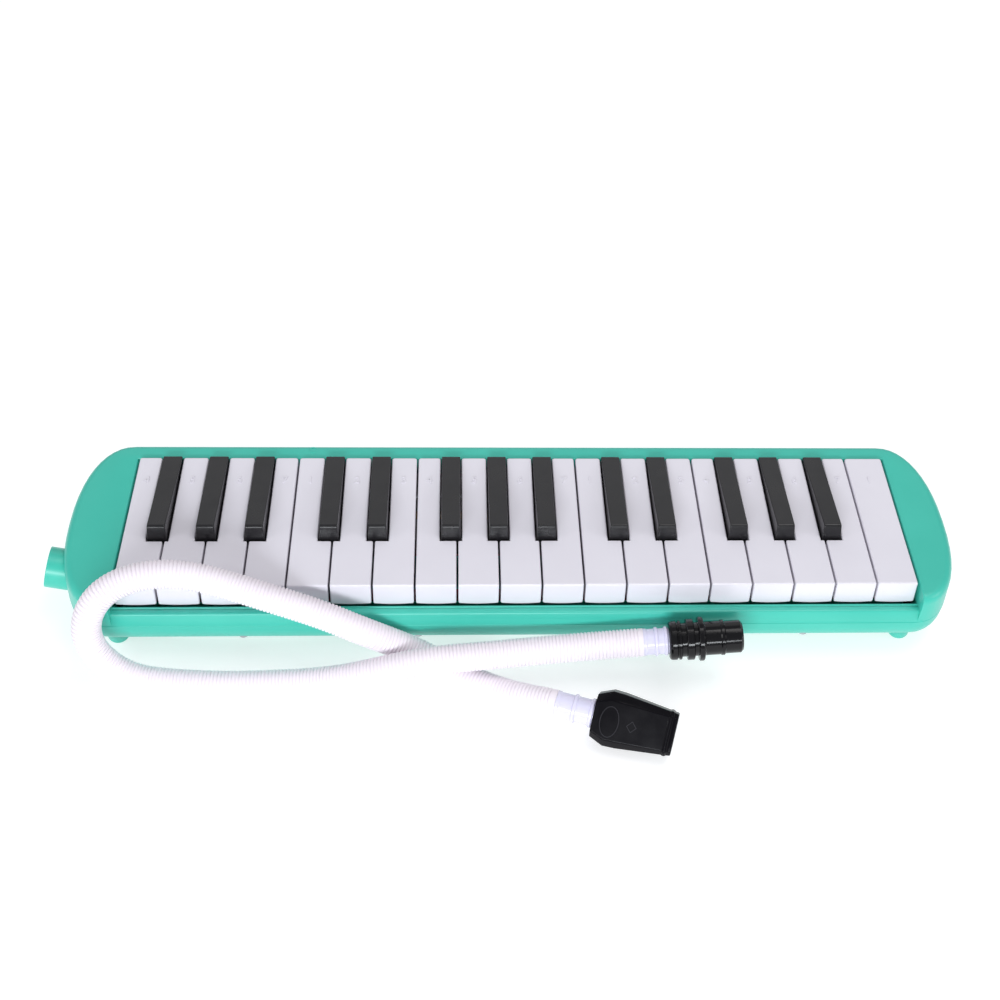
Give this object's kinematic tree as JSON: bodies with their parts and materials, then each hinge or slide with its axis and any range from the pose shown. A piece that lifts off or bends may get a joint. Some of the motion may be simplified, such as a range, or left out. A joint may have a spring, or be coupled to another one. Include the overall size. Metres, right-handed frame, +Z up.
{
  "type": "melodica",
  "caption": "Keyboard wind instrument with rounded plastic case, sprung piano keys over reed plates, angled blow socket, drain valve, and a free corrugated hose with plug and mouthpiece.",
  "frame": {"origin": "centre of the case and blow socket's outline, on the plane of the feet", "axes": "+X along the keyboard towards the treble, +Y from the player to the back, +Z up from the feet"},
  "size_m": [0.428, 0.1642, 0.0581],
  "materials": {
    "white_key_plastic": "moulded, glossy, a faint lavender white",
    "black_key_plastic": "moulded, satin charcoal black",
    "case_plastic": "moulded, glossy, mint teal",
    "gasket_rubber": "soft moulded rubber",
    "chamber_plastic": "moulded, off-white",
    "reed_brass": "rolled sheet, bright",
    "screw_steel": "zinc-plated steel",
    "spring_bronze": "phosphor bronze strip",
    "stop_felt": "wool felt",
    "button_plastic": "moulded, glossy, mint teal",
    "strap_vinyl": "grained vinyl",
    "hose_plastic": "corrugated polyethylene, pinkish white",
    "cuff_plastic": "soft moulded, pale lavender",
    "black_plastic": "moulded, glossy black"
  },
  "bodies": {
    "case": {"upper_case": "case_plastic", "lower_case": "case_plastic", "blow_socket": "case_plastic", "socket_gasket": "gasket_rubber", "chamber_tray": "chamber_plastic", "chamber_gasket": "gasket_rubber", "valve_board": "chamber_plastic", "reed_plate_low": "reed_brass", "reed_plate_high": "reed_brass", "reeds_low": "reed_brass", "reeds_high": "reed_brass", "reed_screws": "screw_steel", "key_axle": "screw_steel", "key_springs": "spring_bronze", "board_screws": "screw_steel", "key_felt": "stop_felt", "case_screws": "screw_steel", "drain_spring": "screw_steel", "hand_strap": "strap_vinyl", "strap_screws": "screw_steel"},
    "drain_valve": {"drain_button": "button_plastic", "drain_seal": "gasket_rubber"},
    "hose_set": {"hose": "hose_plastic", "plug_cuff": "cuff_plastic", "mouth_cuff": "cuff_plastic", "hose_plug": "black_plastic", "mouthpiece": "black_plastic"},
    "key_c4_lever": {"key_c4": "white_key_plastic"},
    "key_c_sharp4_lever": {"key_c_sharp4": "black_key_plastic"},
    "key_g4_lever": {"key_g4": "white_key_plastic"},
    "key_a_sharp4_lever": {"key_a_sharp4": "black_key_plastic"},
    "key_f3_lever": {"key_f3": "white_key_plastic"},
    "key_c6_lever": {"key_c6": "white_key_plastic"},
    "key_f_sharp3_lever": {"key_f_sharp3": "black_key_plastic"},
    "key_g3_lever": {"key_g3": "white_key_plastic"},
    "key_g_sharp3_lever": {"key_g_sharp3": "black_key_plastic"},
    "key_a3_lever": {"key_a3": "white_key_plastic"},
    "key_a_sharp3_lever": {"key_a_sharp3": "black_key_plastic"},
    "key_b3_lever": {"key_b3": "white_key_plastic"},
    "key_d4_lever": {"key_d4": "white_key_plastic"},
    "key_d_sharp4_lever": {"key_d_sharp4": "black_key_plastic"},
    "key_e4_lever": {"key_e4": "white_key_plastic"},
    "key_f4_lever": {"key_f4": "white_key_plastic"},
    "key_f_sharp4_lever": {"key_f_sharp4": "black_key_plastic"},
    "key_g_sharp4_lever": {"key_g_sharp4": "black_key_plastic"},
    "key_a4_lever": {"key_a4": "white_key_plastic"},
    "key_b4_lever": {"key_b4": "white_key_plastic"},
    "key_c5_lever": {"key_c5": "white_key_plastic"},
    "key_c_sharp5_lever": {"key_c_sharp5": "black_key_plastic"},
    "key_d5_lever": {"key_d5": "white_key_plastic"},
    "key_d_sharp5_lever": {"key_d_sharp5": "black_key_plastic"},
    "key_e5_lever": {"key_e5": "white_key_plastic"},
    "key_f5_lever": {"key_f5": "white_key_plastic"},
    "key_f_sharp5_lever": {"key_f_sharp5": "black_key_plastic"},
    "key_g5_lever": {"key_g5": "white_key_plastic"},
    "key_g_sharp5_lever": {"key_g_sharp5": "black_key_plastic"},
    "key_a5_lever": {"key_a5": "white_key_plastic"},
    "key_a_sharp5_lever": {"key_a_sharp5": "black_key_plastic"},
    "key_b5_lever": {"key_b5": "white_key_plastic"}
  },
  "joints": [
    {"name": "drain_valve_press", "type": "slide", "parent": "case", "child": "drain_valve", "axis": [0, -1, 0], "range_m": [0, 0.0016], "stiffness_N_per_m": 900, "springref_m": -0.0012, "deforming": ["drain_spring"]},
    {"name": "hose_set_lift", "type": "slide", "parent": "case", "child": "hose_set", "axis": [0, 0, 1], "range_m": [0, 0.06]},
    {"name": "key_c4_press", "type": "hinge", "parent": "case", "child": "key_c4_lever", "pos_m": [-0.09262, 0.024, 0.027], "axis": [1, 0, 0], "range_deg": [0, 3.9], "stiffness_Nm_per_rad": 0.28, "springref_deg": -5.33, "deforming": ["key_springs"]},
    {"name": "key_c_sharp4_press", "type": "hinge", "parent": "case", "child": "key_c_sharp4_lever", "pos_m": [-0.08145, 0.024, 0.027], "axis": [1, 0, 0], "range_deg": [0, 3.9], "stiffness_Nm_per_rad": 0.28, "springref_deg": -5.33, "deforming": ["key_springs"]},
    {"name": "key_g4_press", "type": "hinge", "parent": "case", "child": "key_g4_lever", "pos_m": [-0.0138, 0.024, 0.027], "axis": [1, 0, 0], "range_deg": [0, 3.9], "stiffness_Nm_per_rad": 0.28, "springref_deg": -5.33, "deforming": ["key_springs"]},
    {"name": "key_a_sharp4_press", "type": "hinge", "parent": "case", "child": "key_a_sharp4_lever", "pos_m": [0.01965, 0.024, 0.027], "axis": [1, 0, 0], "range_deg": [0, 3.9], "stiffness_Nm_per_rad": 0.28, "springref_deg": -5.33, "deforming": ["key_springs"]},
    {"name": "key_f3_press", "type": "hinge", "parent": "case", "child": "key_f3_lever", "pos_m": [-0.17053, 0.024, 0.027], "axis": [1, 0, 0], "range_deg": [0, 3.9], "stiffness_Nm_per_rad": 0.28, "springref_deg": -5.33, "deforming": ["key_springs"]},
    {"name": "key_c6_press", "type": "hinge", "parent": "case", "child": "key_c6_lever", "pos_m": [0.1807, 0.024, 0.027], "axis": [1, 0, 0], "range_deg": [0, 3.9], "stiffness_Nm_per_rad": 0.28, "springref_deg": -5.33, "deforming": ["key_springs"]},
    {"name": "key_f_sharp3_press", "type": "hinge", "parent": "case", "child": "key_f_sharp3_lever", "pos_m": [-0.16005, 0.024, 0.027], "axis": [1, 0, 0], "range_deg": [0, 3.9], "stiffness_Nm_per_rad": 0.28, "springref_deg": -5.33, "deforming": ["key_springs"]},
    {"name": "key_g3_press", "type": "hinge", "parent": "case", "child": "key_g3_lever", "pos_m": [-0.1489, 0.024, 0.027], "axis": [1, 0, 0], "range_deg": [0, 3.9], "stiffness_Nm_per_rad": 0.28, "springref_deg": -5.33, "deforming": ["key_springs"]},
    {"name": "key_g_sharp3_press", "type": "hinge", "parent": "case", "child": "key_g_sharp3_lever", "pos_m": [-0.13775, 0.024, 0.027], "axis": [1, 0, 0], "range_deg": [0, 3.9], "stiffness_Nm_per_rad": 0.28, "springref_deg": -5.33, "deforming": ["key_springs"]},
    {"name": "key_a3_press", "type": "hinge", "parent": "case", "child": "key_a3_lever", "pos_m": [-0.1266, 0.024, 0.027], "axis": [1, 0, 0], "range_deg": [0, 3.9], "stiffness_Nm_per_rad": 0.28, "springref_deg": -5.33, "deforming": ["key_springs"]},
    {"name": "key_a_sharp3_press", "type": "hinge", "parent": "case", "child": "key_a_sharp3_lever", "pos_m": [-0.11545, 0.024, 0.027], "axis": [1, 0, 0], "range_deg": [0, 3.9], "stiffness_Nm_per_rad": 0.28, "springref_deg": -5.33, "deforming": ["key_springs"]},
    {"name": "key_b3_press", "type": "hinge", "parent": "case", "child": "key_b3_lever", "pos_m": [-0.10497, 0.024, 0.027], "axis": [1, 0, 0], "range_deg": [0, 3.9], "stiffness_Nm_per_rad": 0.28, "springref_deg": -5.33, "deforming": ["key_springs"]},
    {"name": "key_d4_press", "type": "hinge", "parent": "case", "child": "key_d4_lever", "pos_m": [-0.0702, 0.024, 0.027], "axis": [1, 0, 0], "range_deg": [0, 3.9], "stiffness_Nm_per_rad": 0.28, "springref_deg": -5.33, "deforming": ["key_springs"]},
    {"name": "key_d_sharp4_press", "type": "hinge", "parent": "case", "child": "key_d_sharp4_lever", "pos_m": [-0.05895, 0.024, 0.027], "axis": [1, 0, 0], "range_deg": [0, 3.9], "stiffness_Nm_per_rad": 0.28, "springref_deg": -5.33, "deforming": ["key_springs"]},
    {"name": "key_e4_press", "type": "hinge", "parent": "case", "child": "key_e4_lever", "pos_m": [-0.04777, 0.024, 0.027], "axis": [1, 0, 0], "range_deg": [0, 3.9], "stiffness_Nm_per_rad": 0.28, "springref_deg": -5.33, "deforming": ["key_springs"]},
    {"name": "key_f4_press", "type": "hinge", "parent": "case", "child": "key_f4_lever", "pos_m": [-0.03542, 0.024, 0.027], "axis": [1, 0, 0], "range_deg": [0, 3.9], "stiffness_Nm_per_rad": 0.28, "springref_deg": -5.33, "deforming": ["key_springs"]},
    {"name": "key_f_sharp4_press", "type": "hinge", "parent": "case", "child": "key_f_sharp4_lever", "pos_m": [-0.02495, 0.024, 0.027], "axis": [1, 0, 0], "range_deg": [0, 3.9], "stiffness_Nm_per_rad": 0.28, "springref_deg": -5.33, "deforming": ["key_springs"]},
    {"name": "key_g_sharp4_press", "type": "hinge", "parent": "case", "child": "key_g_sharp4_lever", "pos_m": [-0.00265, 0.024, 0.027], "axis": [1, 0, 0], "range_deg": [0, 3.9], "stiffness_Nm_per_rad": 0.28, "springref_deg": -5.33, "deforming": ["key_springs"]},
    {"name": "key_a4_press", "type": "hinge", "parent": "case", "child": "key_a4_lever", "pos_m": [0.0085, 0.024, 0.027], "axis": [1, 0, 0], "range_deg": [0, 3.9], "stiffness_Nm_per_rad": 0.28, "springref_deg": -5.33, "deforming": ["key_springs"]},
    {"name": "key_b4_press", "type": "hinge", "parent": "case", "child": "key_b4_lever", "pos_m": [0.03012, 0.024, 0.027], "axis": [1, 0, 0], "range_deg": [0, 3.9], "stiffness_Nm_per_rad": 0.28, "springref_deg": -5.33, "deforming": ["key_springs"]},
    {"name": "key_c5_press", "type": "hinge", "parent": "case", "child": "key_c5_lever", "pos_m": [0.04247, 0.024, 0.027], "axis": [1, 0, 0], "range_deg": [0, 3.9], "stiffness_Nm_per_rad": 0.28, "springref_deg": -5.33, "deforming": ["key_springs"]},
    {"name": "key_c_sharp5_press", "type": "hinge", "parent": "case", "child": "key_c_sharp5_lever", "pos_m": [0.05365, 0.024, 0.027], "axis": [1, 0, 0], "range_deg": [0, 3.9], "stiffness_Nm_per_rad": 0.28, "springref_deg": -5.33, "deforming": ["key_springs"]},
    {"name": "key_d5_press", "type": "hinge", "parent": "case", "child": "key_d5_lever", "pos_m": [0.0649, 0.024, 0.027], "axis": [1, 0, 0], "range_deg": [0, 3.9], "stiffness_Nm_per_rad": 0.28, "springref_deg": -5.33, "deforming": ["key_springs"]},
    {"name": "key_d_sharp5_press", "type": "hinge", "parent": "case", "child": "key_d_sharp5_lever", "pos_m": [0.07615, 0.024, 0.027], "axis": [1, 0, 0], "range_deg": [0, 3.9], "stiffness_Nm_per_rad": 0.28, "springref_deg": -5.33, "deforming": ["key_springs"]},
    {"name": "key_e5_press", "type": "hinge", "parent": "case", "child": "key_e5_lever", "pos_m": [0.08732, 0.024, 0.027], "axis": [1, 0, 0], "range_deg": [0, 3.9], "stiffness_Nm_per_rad": 0.28, "springref_deg": -5.33, "deforming": ["key_springs"]},
    {"name": "key_f5_press", "type": "hinge", "parent": "case", "child": "key_f5_lever", "pos_m": [0.09967, 0.024, 0.027], "axis": [1, 0, 0], "range_deg": [0, 3.9], "stiffness_Nm_per_rad": 0.28, "springref_deg": -5.33, "deforming": ["key_springs"]},
    {"name": "key_f_sharp5_press", "type": "hinge", "parent": "case", "child": "key_f_sharp5_lever", "pos_m": [0.11015, 0.024, 0.027], "axis": [1, 0, 0], "range_deg": [0, 3.9], "stiffness_Nm_per_rad": 0.28, "springref_deg": -5.33, "deforming": ["key_springs"]},
    {"name": "key_g5_press", "type": "hinge", "parent": "case", "child": "key_g5_lever", "pos_m": [0.1213, 0.024, 0.027], "axis": [1, 0, 0], "range_deg": [0, 3.9], "stiffness_Nm_per_rad": 0.28, "springref_deg": -5.33, "deforming": ["key_springs"]},
    {"name": "key_g_sharp5_press", "type": "hinge", "parent": "case", "child": "key_g_sharp5_lever", "pos_m": [0.13245, 0.024, 0.027], "axis": [1, 0, 0], "range_deg": [0, 3.9], "stiffness_Nm_per_rad": 0.28, "springref_deg": -5.33, "deforming": ["key_springs"]},
    {"name": "key_a5_press", "type": "hinge", "parent": "case", "child": "key_a5_lever", "pos_m": [0.1436, 0.024, 0.027], "axis": [1, 0, 0], "range_deg": [0, 3.9], "stiffness_Nm_per_rad": 0.28, "springref_deg": -5.33, "deforming": ["key_springs"]},
    {"name": "key_a_sharp5_press", "type": "hinge", "parent": "case", "child": "key_a_sharp5_lever", "pos_m": [0.15475, 0.024, 0.027], "axis": [1, 0, 0], "range_deg": [0, 3.9], "stiffness_Nm_per_rad": 0.28, "springref_deg": -5.33, "deforming": ["key_springs"]},
    {"name": "key_b5_press", "type": "hinge", "parent": "case", "child": "key_b5_lever", "pos_m": [0.16523, 0.024, 0.027], "axis": [1, 0, 0], "range_deg": [0, 3.9], "stiffness_Nm_per_rad": 0.28, "springref_deg": -5.33, "deforming": ["key_springs"]}
  ]
}
